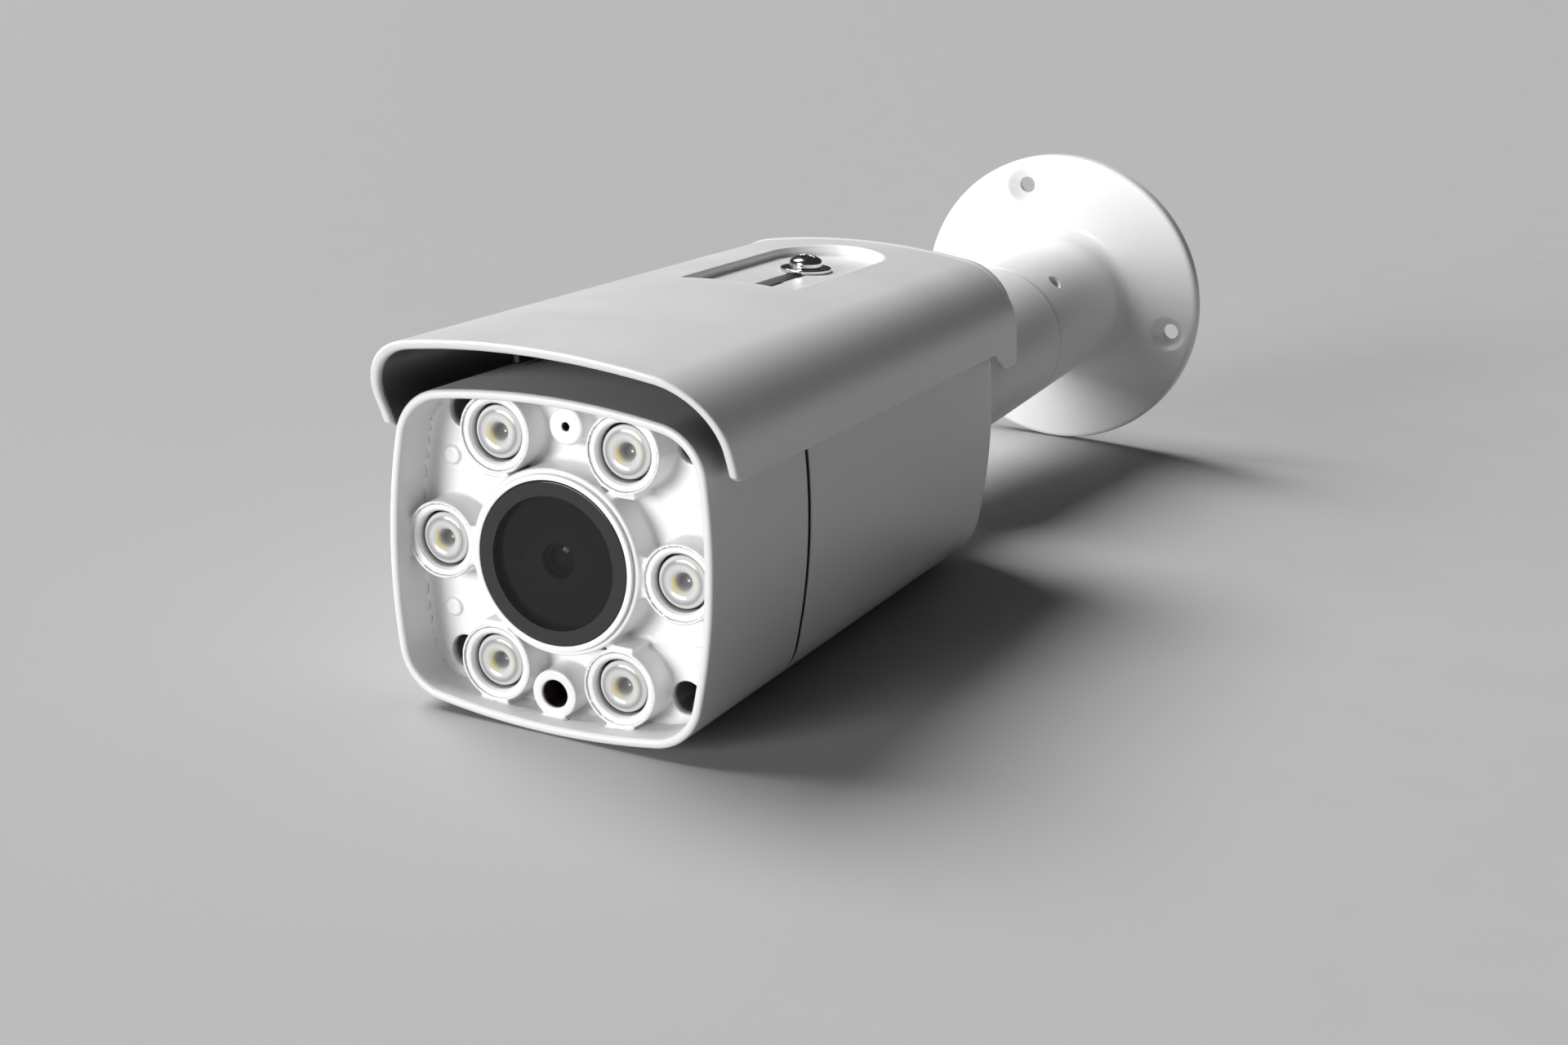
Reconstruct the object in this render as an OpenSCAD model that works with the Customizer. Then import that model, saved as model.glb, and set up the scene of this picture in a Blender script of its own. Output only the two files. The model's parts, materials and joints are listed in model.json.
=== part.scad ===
// Bullet security camera with a sliding sunshade on a three-axis wall bracket.
// Millimetres, +Z up. The camera looks along -Y. The origin is the centre of the
// wall plate's back face; the camera head is square with the axes and the wall
// bracket leans from it by head_tilt at the knuckle.

/* [Camera head] */
// Half width of the housing at the middle of its bulged sides
half_w = 38.5; // [37:0.5:42]
// Half height of the housing at the middle of its bulged top
half_h = 36; // [35:0.5:40]
// Corner radius of the housing outline
corner_r = 12.3; // [11:0.1:14]
// How far the sides bulge over the full height
side_sag = 4.6; // [3:0.1:5]
// How far the top and bottom bulge over the full width
top_sag = 4.4; // [3:0.1:5]
// Wall thickness of the housing shells
wall = 2; // [1.6:0.1:2.2]
// Overall length of the housing from front rim to rear face
housing_len = 164.7; // [150:0.1:200]
// Width of the black seam between front cover and rear casing
seam_w = 1.7; // [1:0.1:2.5]
// Rounding between the housing's sides and its rear face
rear_round = 10; // [6:1:14]

/* [Light ring] */
// Distance of the two side LEDs from the optical axis
led_side_x = 28.5; // [28.5:0.1:28.8]
// Sideways distance of the upper and lower LEDs from the axis
led_column_x = 15.1; // [14.9:0.1:15.5]
// Height of the upper LEDs above the axis, and depth of the lower ones
led_row_z = 25; // [24.8:0.1:25.2]
// Bore radius of an LED cup
cup_bore_r = 6.2; // [5.8:0.1:6.4]
// Outer radius of an LED cup
cup_r = 8.5; // [8.2:0.1:8.5]
// Height of the cups above the bezel floor
cup_h = 7; // [5:0.5:8]
// Radius of the smoked window
window_r = 17.45; // [17:0.05:17.5]

/* [Sunshade] */
// Half width of the sunshade outside
shade_half_w = 41.75; // [41.5:0.25:44]
// Height of the sunshade's crown above the optical axis
shade_top_z = 47.3; // [47:0.1:50]
// Thickness of the sunshade
shade_wall = 2; // [1.6:0.1:2.2]
// Length of the slot that the sunshade slides on
slot_len = 40.6; // [30:0.1:42]
// Width of that slot
slot_w = 4.8; // [4.4:0.1:5.6]

/* [Wall bracket] */
// Radius of the wall plate
plate_r = 47.3; // [45:0.1:55]
// Thickness of the wall plate
plate_t = 5; // [4:0.5:6]
// Radius of the stub and arm
arm_r = 21.8; // [21:0.1:23]
// Distance from the wall to the knuckle's pin
arm_reach = 128; // [115:1:150]
// Height of the stub above the plate's face
stub_len = 50.5; // [45:0.5:55]
// Radius of the circle through the three plate screws
plate_hole_ring_r = 38.75; // [37:0.25:39]
// Lean of the bracket from the head's own axis, about the knuckle's pin
head_tilt = 6; // [0:1:20]
// Turn of the arm in the stub, from the pin lying level
arm_turn = 33; // [0:1:90]

/* [Hidden] */
$fn = 64;
eps = 0.01;
// Play of a part that only has to slip into its seat
slip = 0.15;
// Radial play of a running fit
run = 0.05;

// Stations along the optical axis, from the front plane of the LED cups
rim_y = -4.7;
rear_y = rim_y + housing_len;
floor_y = cup_h;
bezel_t = 2;
bezel_back = floor_y + bezel_t;
seam_y = 39.5;
rear_front_y = seam_y + seam_w;
// The housing's centre sits a little below the optical axis
housing_drop = 0.3;

// Housing outline: two flat bulge arcs and a corner arc tangent to both
function bulge_r(half, sag) = (half * half + sag * sag) / (2 * sag);
top_r = bulge_r(half_w, top_sag);
side_r = bulge_r(half_h, side_sag);
top_c = half_h - top_r;
side_c = half_w - side_r;
arc_gap = norm([side_c, top_c]);
arc_dir = [side_c, -top_c] / arc_gap;
top_reach = top_r - corner_r;
side_reach = side_r - corner_r;
along = (pow(top_reach, 2) - pow(side_reach, 2) + pow(arc_gap, 2)) / (2 * arc_gap);
across = sqrt(pow(top_reach, 2) - pow(along, 2));
corner_c = [0, top_c] + along * arc_dir + across * [arc_dir[1], -arc_dir[0]];
side_end = atan2(corner_c[1], corner_c[0] - side_c);
top_start = atan2(corner_c[1] - top_c, corner_c[0]);

function arc(c, r, a0, a1, n) =
    [for (i = [0:n]) c + r * [cos(a0 + (a1 - a0) * i / n), sin(a0 + (a1 - a0) * i / n)]];
function mirrored(q) =
    concat(q, [for (i = [len(q) - 1:-1:0]) [-q[i][0], q[i][1]]],
           [for (p = q) -p], [for (i = [len(q) - 1:-1:0]) [q[i][0], -q[i][1]]]);
flat_angle = 0.6;
function housing_outline(inset) = mirrored(concat(
    arc([side_c, 0], side_r - inset, flat_angle, side_end, 5),
    arc(corner_c, corner_r - inset, side_end + 8, top_start - 8, 7),
    arc([0, top_c], top_r - inset, top_start, 90 - flat_angle, 5)));

// Sunshade section: upright sides, corner arcs and a flat crown arc
shade_corner_r = 15.9;
shade_sag = 5.15;
shade_crown_r = bulge_r(shade_half_w, shade_sag);
shade_crown_c = shade_top_z - shade_crown_r;
shade_corner_x = shade_half_w - shade_corner_r;
shade_corner_z = shade_crown_c
    + sqrt(pow(shade_crown_r - shade_corner_r, 2) - pow(shade_corner_x, 2));
shade_blend = atan2(shade_corner_z - shade_crown_c, shade_corner_x);
function shade_half(inset, low) = concat(
    [[shade_half_w - inset, low]],
    arc([shade_corner_x, shade_corner_z], shade_corner_r - inset, 0, shade_blend, 12),
    arc([0, shade_crown_c], shade_crown_r - inset, shade_blend + 2, 89, 8));
function shade_section(inset, low) = let (h = shade_half(inset, low))
    concat(h, [for (i = [len(h) - 1:-1:0]) [-h[i][0], h[i][1]]]);
shade_low_z = 23;
shade_tab_z = 18;
shade_rear_y = 155;
shade_rear_wall = 2.5;
shade_rake = 0.55;
shade_front_y = -4.6;
shade_rake_z = 30;
function rake_y(z) = shade_front_y - shade_rake * (z - shade_rake_z);

// Shade recess, slot and screw
recess_half_w = 14.5;
recess_front_y = 78;
recess_round_y = 127.5;
recess_z = 44.3;
shade_screw_y = 116;
slot_rear_y = shade_screw_y + 4.8;
slot_front_y = slot_rear_y - slot_len;
boss_r = 6;
m4_r = 1.95;
washer_r = 6.4;
washer_t = 1;

// Knuckle
knuckle_y = rear_y + 16;
yoke_gap = 0.3;
yoke_base_t = 5;
yoke_r = 17;
tongue_t = 12;
tongue_r = 9.6;
ear_t = 7;
ear_r = 10;
pin_r = 4;
spigot_r = 11;
ear_x = tongue_t / 2 + yoke_gap;
ear_out = ear_x + ear_t;

// Places
lean_axis = [cos(arm_turn), 0, -sin(arm_turn)];
// Direction from the wall to the knuckle: -Y turned by head_tilt about lean_axis
arm_dir = [-sin(head_tilt) * sin(arm_turn), -cos(head_tilt), -sin(head_tilt) * cos(arm_turn)];
knuckle_at = arm_reach * arm_dir;
head_at = knuckle_at - [0, knuckle_y, 0];

module in_head() { translate(head_at) children(); }
module in_bracket() { translate(knuckle_at) rotate(a = head_tilt, v = lean_axis) children(); }
// Round bar along Y, of radius r at y0 and r1 at y1
module bar(r, y0, y1, r1 = -1) {
    translate([0, y1, 0]) rotate([90, 0, 0]) cylinder(h = y1 - y0, r1 = r1 < 0 ? r : r1, r2 = r);
}
// Prism along Y of a list of [x, z] points
module prism(points, y0, y1) {
    translate([0, y1, 0]) rotate([90, 0, 0]) linear_extrude(y1 - y0) polygon(points);
}
// Solid of revolution about the Y axis, from [radius, y] points
module spun(points) { rotate([-90, 0, 0]) rotate_extrude() polygon(points); }
module housing_prism(inset, y0, y1) {
    translate([0, 0, -housing_drop]) prism(housing_outline(inset), y0, y1);
}
module block(size, at) { translate(at - size / 2) cube(size); }

led_places = [[led_side_x, 0], [led_column_x, led_row_z], [-led_column_x, led_row_z],
    [-led_side_x, 0], [-led_column_x, -led_row_z], [led_column_x, -led_row_z]];
led_count = len(led_places);
module at_led(i) {
    translate([led_places[i][0], 0, led_places[i][1]]) children();
}
function four(x, z) = [for (sx = [-1, 1], sz = [-1, 1]) [sx * x, 0, sz * z]];

// ---- Front cover and bezel ----
ledge_in = 2.2;
ledge_t = 2;
module front_cover() {
    color([0.93, 0.92, 0.93]) in_head() difference() {
        housing_prism(0, rim_y, seam_y);
        housing_prism(wall, rim_y - 1, bezel_back);
        housing_prism(wall + ledge_in, bezel_back - eps, bezel_back + ledge_t + eps);
        housing_prism(wall, bezel_back + ledge_t, seam_y + 1);
    }
}

screw_x = 27.3;
screw_z = 26.8;
screw_well_r = 3.6;
screw_well_y = 18.5;
screw_hole_r = 1.6;
bump_x = 30;
bump_z = 17;
window_pocket_r = window_r + slip;
window_seat_r = 15.6;
window_seat_y = 1.3;
barrel_r = 19.95;
barrel_y = -0.9;
mic_at = [0.7, 0, 28.2];
mic_boss_r = 4;
sensor_at = [-0.5, 0, -29.2];
sensor_tube_r = 5.3;
sensor_bore_r = 3.05;
module cup_solids() {
    for (i = [0:led_count - 1]) {
        at_led(i) bar(cup_r, 0, floor_y + eps);
    }
    // Webs that join each cup to the nearest rim wall
    for (i = [0, 3]) {
        at_led(i) block([18, floor_y, 8.6], [0, floor_y / 2, 0]);
    }
    for (i = [1, 2, 4, 5]) {
        at_led(i) block([6, floor_y, 18.6], [0, floor_y / 2, 0]);
    }
}
module bezel() {
    color([1, 0.99, 1]) in_head() difference() {
        union() {
            intersection() {
                union() {
                    cup_solids();
                    translate(sensor_at) bar(sensor_tube_r, 0, floor_y + eps);
                    translate(mic_at) bar(mic_boss_r, 2, floor_y + eps);
                    bar(barrel_r, barrel_y, floor_y + eps);
                }
                housing_prism(wall + slip, rim_y, bezel_back);
            }
            housing_prism(wall + slip, floor_y, bezel_back);
            for (p = four(screw_x, screw_z)) {
                translate(p) intersection() {
                    bar(screw_well_r + 1.2, floor_y, screw_well_y + 2);
                    translate(-p) housing_prism(wall + ledge_in + slip, floor_y, screw_well_y + 2);
                }
            }
            for (p = four(bump_x, bump_z)) {
                translate(p) bar(1.4, floor_y - 0.8, floor_y, 2);
            }
        }
        for (i = [0:led_count - 1]) {
            at_led(i) bar(cup_bore_r, -1, bezel_back + 1);
        }
        bar(window_pocket_r, barrel_y - 1, window_seat_y);
        bar(window_seat_r, 0, bezel_back + 1);
        translate(mic_at) bar(1, 1, bezel_back + 1);
        translate(sensor_at) bar(sensor_bore_r, -1, bezel_back + 1);
        for (p = four(screw_x, screw_z)) {
            translate(p) bar(screw_well_r, 0, screw_well_y);
            translate(p) bar(screw_hole_r, 0, screw_well_y + 3);
        }
        for (p = four(bump_x, bump_z)) {
            translate(p) bar(0.8, floor_y + 0.8, bezel_back + 1);
        }
    }
}

ring_front_y = -1.9;
module window_ring() {
    color([0.97, 0.96, 0.97]) in_head() spun([
        [window_pocket_r, ring_front_y], [18.5, ring_front_y], [18.9, ring_front_y + 0.3],
        [18.9, barrel_y], [window_pocket_r, barrel_y]]);
}
glass_y = -1.8;
glass_t = 2;
module window_glass() {
    color([0.19, 0.18, 0.19, 0.9]) in_head() bar(window_r, glass_y, glass_y + glass_t);
}
module window_seal() {
    seal_r = (window_seat_y - glass_y - glass_t) / 2;
    color([0.05, 0.05, 0.05]) in_head() translate([0, window_seat_y - seal_r, 0])
        rotate([90, 0, 0]) rotate_extrude() translate([16.6, 0]) circle(r = seal_r, $fn = 24);
}

// ---- Light ring ----
lens_front_y = 1.3;
lens_back_y = 8.1;
led_board_y = 9.7;
led_board_t = 1.6;
module led_lens(i) {
    color([0.85, 0.86, 0.88, 0.6]) in_head() at_led(i) spun([
        [0, 3.4], [1.8, 3.0], [2.7, 2.2], [3.2, lens_front_y + 0.5],
        [4.6, lens_front_y], [cup_bore_r - slip, lens_front_y], [cup_bore_r - slip, 2.2],
        [3.4, lens_back_y], [2.3, lens_back_y], [2.3, 6.2], [0, 5.6]]);
}
module led_emitter(i) {
    color([0.95, 0.8, 0.25]) in_head() at_led(i) {
        block([3.5, 1, 3.5], [0, led_board_y - 0.5, 0]);
        bar(1.1, led_board_y - 2.2, led_board_y - 1 + eps, 1.5);
    }
}
board_inset = wall + ledge_in + 0.4;
module led_board() {
    color([0.9, 0.9, 0.88]) in_head() difference() {
        housing_prism(board_inset, led_board_y, led_board_y + led_board_t);
        bar(16.2, led_board_y - 1, led_board_y + led_board_t + 1);
        for (p = four(screw_x, screw_z)) {
            translate(p) bar(screw_well_r + 1.8, led_board_y - 1, led_board_y + led_board_t + 1);
        }
        for (p = four(bump_x, bump_z)) {
            translate(p) bar(1, led_board_y - 1, led_board_y + led_board_t + 1);
        }
        translate(mic_at) bar(3.3, led_board_y - 1, led_board_y + led_board_t + 1);
    }
}
module led_board_screws() {
    color([0.7, 0.7, 0.72]) in_head() for (p = four(bump_x, bump_z)) {
        translate(p) {
            bar(1.9, led_board_y + led_board_t, led_board_y + led_board_t + 1.2);
            bar(0.75, floor_y + 1, led_board_y + led_board_t + eps);
        }
    }
}
sink_y = led_board_y + led_board_t + slip;
sink_w = 51;
sink_h = 43;
fin_count = 5;
module heat_sink() {
    color([0.75, 0.76, 0.78]) in_head() difference() {
        union() {
            block([sink_w, 2.5, sink_h], [0, sink_y + 1.25, 0]);
            for (side = [-1, 1], i = [0:fin_count - 1]) {
                block([sink_w, 5, 1.2], [0, sink_y + 4, side * (sink_h / 2 - 0.6 - i * 2.2)]);
            }
        }
        bar(12, sink_y - 1, sink_y + 8);
    }
}
module microphone() {
    color([0.75, 0.75, 0.72]) in_head() translate(mic_at) bar(3, bezel_back + 0.1, bezel_back + 4);
}
module light_sensor() {
    color([0.35, 0.2, 0.15]) in_head() translate(sensor_at) {
        bar(2.5, 6.5, 8.5);
        bar(2.9, 8.5, led_board_y);
    }
}

// ---- Lens and image sensor ----
lens_r = 6;
lens_front = 2;
flange_y = 7;
thread_end_y = 20;
holder_y = 9.2;
holder_block_y = 20.5;
sensor_board_y = 31;
board_t = 1.6;
module lens_shroud() {
    color([0.06, 0.06, 0.06]) in_head() spun([
        [3.9, 0.5], [15.3, 0.5], [15.3, led_board_y - 0.5], [14.3, led_board_y - 0.5],
        [14.3, 1.5], [3.9, 1.5]]);
}
module lens_barrel() {
    color([0.1, 0.1, 0.1]) in_head() difference() {
        union() {
            bar(7, lens_front, flange_y);
            bar(lens_r, flange_y - eps, thread_end_y);
        }
        bar(3.6, lens_front - 1, lens_front + 2);
        bar(3, lens_front, thread_end_y + 1);
        bar(4.5, thread_end_y - 3, thread_end_y + 1);
    }
}
module lens_glass() {
    color([0.3, 0.25, 0.45, 0.7]) in_head() {
        spun([[0, lens_front + 0.2], [1.8, lens_front + 0.4], [3.5, lens_front + 1],
            [3.5, lens_front + 1.9], [0, lens_front + 1.9]]);
        bar(4.4, thread_end_y - 2.9, thread_end_y - 1);
    }
}
module lens_lock_ring() {
    color([0.72, 0.6, 0.3]) in_head() difference() {
        bar(8, flange_y + 0.1, holder_y - 0.3);
        bar(lens_r + run, flange_y - 1, holder_y + 1);
        for (x = [-8, 8]) {
            block([3, 6, 2], [x, flange_y + 1, 0]);
        }
    }
}
holder_block = [24, 18];
shuttle_room = [20.4, 13];
shuttle_y = 25;
module lens_holder() {
    color([0.12, 0.12, 0.13]) in_head() difference() {
        union() {
            bar(8.4, holder_y, holder_block_y + eps);
            block([holder_block[0], sensor_board_y - holder_block_y, holder_block[1]],
                [0, (sensor_board_y + holder_block_y) / 2, 0]);
        }
        bar(lens_r + run, holder_y - 1, holder_block_y + 1);
        bar(5, holder_block_y, 24);
        block([shuttle_room[0], 8, shuttle_room[1]], [0, 24 + 4, 0]);
    }
}
shuttle_travel = 6;
module shuttle_places() {
    for (x = [-1, 1]) {
        translate([x * shuttle_travel / 2 - shuttle_travel / 2, 0, 0]) children();
    }
}
module ir_cut_shuttle() {
    color([0.15, 0.15, 0.15]) in_head() difference() {
        block([13, 1.6, 11], [-shuttle_travel / 2, shuttle_y, 0]);
        shuttle_places() bar(2.7, shuttle_y - 2, shuttle_y + 2);
        shuttle_places() bar(2.9, shuttle_y - 0.2, shuttle_y + 2);
    }
}
module ir_cut_filters() {
    color([0.6, 0.8, 0.9, 0.5]) in_head() shuttle_places()
        bar(2.85, shuttle_y - 0.2, shuttle_y + 0.5);
}
module ir_cut_coil() {
    color([0.72, 0.42, 0.2]) in_head() {
        block([12, 6, 4], [0, 25, -holder_block[1] / 2 - 2.1]);
        block([8, 8, 3], [0, 25, -holder_block[1] / 2 - 2.1]);
    }
}
module image_sensor() {
    color([0.2, 0.3, 0.28]) in_head() {
        block([10, 1.2, 10], [0, sensor_board_y - 0.6, 0]);
        block([6, 0.4, 4], [0, sensor_board_y - 1.4, 0]);
    }
}
module sensor_board_plate() {
    block([38, board_t, 38], [0, sensor_board_y + board_t / 2, 0]);
}
stack_x = 16.5;
main_board_y = 46;
module sensor_board() {
    color([0.1, 0.35, 0.2]) in_head() difference() {
        sensor_board_plate();
        for (p = four(stack_x, stack_x)) {
            translate(p) bar(1.1, sensor_board_y - 1, sensor_board_y + 3);
        }
    }
}
module board_spacers() {
    color([0.8, 0.65, 0.3]) in_head() for (p = four(stack_x, stack_x)) {
        translate(p) difference() {
            translate([0, main_board_y, 0]) rotate([90, 0, 0])
                cylinder(h = main_board_y - sensor_board_y - board_t, r = 2.4, $fn = 6);
            bar(1, sensor_board_y, main_board_y + 1);
        }
    }
}
module main_board() {
    color([0.1, 0.35, 0.2]) in_head() {
        difference() {
            block([52, board_t, 44], [0, main_board_y + board_t / 2, 0]);
            for (p = four(stack_x, stack_x)) {
                translate(p) bar(1.1, main_board_y - 1, main_board_y + 3);
            }
        }
        block([14, 1.4, 14], [-6, main_board_y + board_t + 0.7 - eps, 5]);
        block([8, 2, 6], [14, main_board_y + board_t + 1 - eps, -4]);
        for (x = [-12, -7]) {
            translate([x, 0, -14]) bar(2.2, main_board_y + board_t - eps, main_board_y + 7);
        }
    }
}
module board_screws() {
    color([0.7, 0.7, 0.72]) in_head() for (p = four(stack_x, stack_x)) {
        translate(p) {
            bar(1.9, sensor_board_y - 1.2, sensor_board_y);
            bar(0.95, sensor_board_y - eps, sensor_board_y + 6);
            bar(1.9, main_board_y + board_t, main_board_y + board_t + 1.2);
            bar(0.95, main_board_y - 4, main_board_y + board_t + eps);
        }
    }
}
module cable_header() {
    color([0.95, 0.94, 0.9]) in_head() difference() {
        block([13, 8, 6], [4, main_board_y + board_t + 4, -14]);
        block([11, 8, 4], [4, main_board_y + board_t + 6, -14]);
    }
}

// ---- Rear casing ----
module cover_gasket() {
    color([0.03, 0.03, 0.03]) in_head() difference() {
        housing_prism(0.4, seam_y, rear_front_y);
        housing_prism(wall + 1.6, seam_y - 1, rear_front_y + 1);
    }
}
screw_boss_r = 4.6;
screw_end_y = 56;
module cover_screws() {
    color([0.6, 0.6, 0.62]) in_head() for (p = four(screw_x, screw_z)) {
        translate(p) difference() {
            union() {
                bar(2.8, screw_well_y - 2, screw_well_y);
                bar(1.5, screw_well_y - eps, screw_end_y);
            }
            rotate([0, 30, 0]) translate([0, screw_well_y - 0.8, 0]) rotate([90, 0, 0])
                cylinder(h = 3, r = 1.3, $fn = 6);
        }
    }
}
rear_steps = 6;
// Closed housing body: straight from y0, rounded into its rear face at y1
module rounded_housing(y0, y1, round) {
    hull() {
        housing_prism(0, y0, y1 - round);
        for (i = [1:rear_steps]) {
            a = 90 * i / rear_steps;
            housing_prism(round * (1 - cos(a)), y1 - round + round * sin(a) - 0.2,
                y1 - round + round * sin(a));
        }
    }
}
rear_wall = wall + 1;
grommet_z = -22;
grommet_hole_r = 3.2;
grommet_bore_r = 2.2;
grommet_lip_r = 4.2;
boss_in_y = rear_y - 8;
rear_boss_wall = 4.5;
module rear_bosses() {
    intersection() {
        union() {
            for (p = four(screw_x, screw_z)) {
                translate(p) bar(screw_boss_r, rear_front_y, screw_end_y + 4);
                block([10, screw_end_y + 4 - rear_front_y, 3],
                    p + [sign(p[0]) * 5, (rear_front_y + screw_end_y + 4) / 2, 0]);
            }
        }
        housing_prism(wall - 0.6, rear_front_y, screw_end_y + 4);
    }
}
module rear_casing() {
    color([0.9, 0.89, 0.9]) in_head() difference() {
        union() {
            difference() {
                rounded_housing(rear_front_y, rear_y, rear_round);
                housing_prism(wall, rear_front_y - 1, rear_y - rear_round);
                housing_prism(wall + rear_round / 2, rear_y - rear_round - 1, rear_y - rear_wall);
            }
            bar(spigot_r + rear_boss_wall, boss_in_y, rear_y - 0.5);
            rear_bosses();
            // Post that carries the sunshade, and the block under it
            translate([0, shade_screw_y, half_h - housing_drop - wall - 3])
                cylinder(h = recess_z - shade_wall - 0.4 - half_h + housing_drop + wall + 3, r = boss_r);
        }
        bar(spigot_r, boss_in_y - 1, rear_y + 1);
        translate([0, 0, grommet_z]) bar(grommet_hole_r, rear_y - rear_wall - 1, rear_y + 1);
        for (p = four(screw_x, screw_z)) {
            translate(p) bar(1.55, rear_front_y - 1, screw_end_y + 2);
        }
        translate([0, shade_screw_y, half_h - 3]) cylinder(h = 12, r = m4_r + run);
    }
}
module cable_grommet() {
    inner = rear_y - rear_wall - run;
    outer = rear_y + run;
    color([0.06, 0.06, 0.06]) in_head() translate([0, 0, grommet_z]) spun([
        [grommet_bore_r, inner - 1.4], [grommet_lip_r - 0.4, inner - 1.4], [grommet_lip_r, inner - 1],
        [grommet_lip_r, inner], [grommet_hole_r - run, inner], [grommet_hole_r - run, outer],
        [grommet_lip_r, outer], [grommet_lip_r, outer + 1], [grommet_lip_r - 0.9, outer + 2.4],
        [grommet_bore_r, outer + 2.4]]);
}

// ---- Sunshade ----
shade_nose_z = 26.5;
shade_nose_y = rake_y(shade_nose_z);
shade_profile = [
    [shade_nose_y + 3.4, shade_low_z], [shade_nose_y + 1.2, shade_low_z + 1.1],
    [shade_nose_y, shade_nose_z], [rake_y(60), 60], [shade_rear_y - 6, 60],
    [shade_rear_y, shade_top_z - 3], [shade_rear_y, 37], [159, 25.5], [160, shade_tab_z + 1],
    [159, shade_tab_z], [152, shade_tab_z], [144, shade_low_z]];
module recess_shape(grow, z0, z1) {
    w = recess_half_w + grow;
    translate([0, recess_round_y, z0]) cylinder(h = z1 - z0, r = w);
    translate([-w, recess_front_y - grow, z0])
        cube([2 * w, recess_round_y - recess_front_y + grow, z1 - z0]);
}
module slot_shape() {
    r = slot_w / 2;
    translate([-r, slot_front_y + r, 30]) cube([slot_w, slot_len - slot_w, 20]);
    for (y = [slot_front_y + r, slot_rear_y - r]) {
        translate([0, y, 30]) cylinder(h = 20, r = r);
    }
}
rail_x = 24;
module sunshade() {
    rear_in = shade_rear_y - shade_rear_wall;
    color([0.86, 0.85, 0.86]) in_head() difference() {
        union() {
            intersection() {
                rotate([90, 0, 90]) translate([0, 0, -60]) linear_extrude(120) polygon(shade_profile);
                difference() {
                    prism(shade_section(0, 10), -30, 165);
                    prism(shade_section(shade_wall, 9), -31, rear_in);
                    housing_prism(-1.2, rear_in - 1, 166);
                    block([2 * (shade_half_w - shade_wall), 20, 36], [0, 160, 19]);
                }
            }
            intersection() {
                recess_shape(shade_wall, recess_z - shade_wall, 60);
                prism(shade_section(shade_wall / 2, 9), 0, rear_in);
            }
            // Rails that ride on top of the housing
            intersection() {
                for (s = [-1, 1]) {
                    block([2, 122, 12], [s * rail_x, 83, 41]);
                }
                prism(shade_section(shade_wall / 2, 9), 0, rear_in);
            }
        }
        recess_shape(0, recess_z, 60);
        slot_shape();
        // The rails clear the housing's crown
        housing_prism(-0.5, 0, rear_in - 1.2);
    }
}
module shade_washer() {
    color([0.8, 0.8, 0.82]) in_head() translate([0, shade_screw_y, recess_z + 0.05]) difference() {
        cylinder(h = washer_t, r = washer_r);
        translate([0, 0, -1]) cylinder(h = washer_t + 2, r = m4_r + run);
    }
}
head_r = 4.1;
head_h = 3.1;
module shade_screw() {
    z0 = recess_z + 0.1 + washer_t;
    color([0.75, 0.75, 0.78]) in_head() translate([0, shade_screw_y, 0]) difference() {
        union() {
            translate([0, 0, z0]) rotate_extrude() polygon([
                [0, 0], [head_r, 0], [head_r, 1.1], [3.6, 2.1], [2.4, 2.8], [0, head_h]]);
            translate([0, 0, half_h - 2]) cylinder(h = z0 - half_h + 2 + eps, r = m4_r);
        }
        for (a = [0, 90]) {
            rotate([0, 0, a]) translate([-2.2, -0.45, z0 + 1.4]) cube([4.4, 0.9, 4]);
        }
    }
}

// ---- Knuckle: the head rolls in the yoke, the yoke tilts on the arm ----
yoke_y = rear_y + yoke_gap;
spigot_end_y = boss_in_y - 5.5;
module in_knuckle() { rotate([0, arm_turn, 0]) children(); }
module in_yoke() { in_head() translate([0, knuckle_y, 0]) in_knuckle() children(); }
module cross_bar(r, x0, x1) { translate([x0, 0, 0]) rotate([0, 90, 0]) cylinder(h = x1 - x0, r = r); }
module yoke() {
    base_front = yoke_y - knuckle_y;
    color([0.9, 0.89, 0.9]) in_yoke() difference() {
        union() {
            spun([[0, base_front], [yoke_r - 1, base_front], [yoke_r, base_front + 1],
                [yoke_r, base_front + yoke_base_t - 1], [yoke_r - 1, base_front + yoke_base_t],
                [0, base_front + yoke_base_t]]);
            bar(spigot_r - run, spigot_end_y - knuckle_y, base_front + eps);
            for (s = [-1, 1]) {
                block([ear_t, -base_front - 1, 2 * ear_r],
                    [s * (ear_x + ear_t / 2), (base_front + 1) / 2, 0]);
                cross_bar(ear_r, s > 0 ? ear_x : -ear_out, s > 0 ? ear_out : -ear_x);
            }
        }
        cross_bar(pin_r + run, -ear_out - 1, ear_out + 1);
        bar(6, spigot_end_y - knuckle_y - 1, -tongue_r - 0.6);
    }
}
roll_washer_r = 14.5;
roll_nut_r = 15;
roll_nut_t = 4.8;
module roll_washer() {
    color([0.85, 0.85, 0.8]) in_head() difference() {
        bar(roll_washer_r, boss_in_y - 1.1, boss_in_y - 0.1);
        bar(spigot_r, boss_in_y - 2, boss_in_y + 1);
    }
}
module roll_nut() {
    color([0.8, 0.65, 0.3]) in_yoke() difference() {
        translate([0, boss_in_y - 1.2 - knuckle_y, 0]) rotate([90, 0, 0])
            cylinder(h = roll_nut_t, r = roll_nut_r, $fn = 6);
        bar(spigot_r, -40, 0);
    }
}
bolt_head_r = 6.6;
bolt_head_t = 4.5;
bolt_key_r = 3;
bolt_tail = 5.5;
pivot_nut_r = 7.2;
pivot_nut_t = 4.5;
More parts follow.
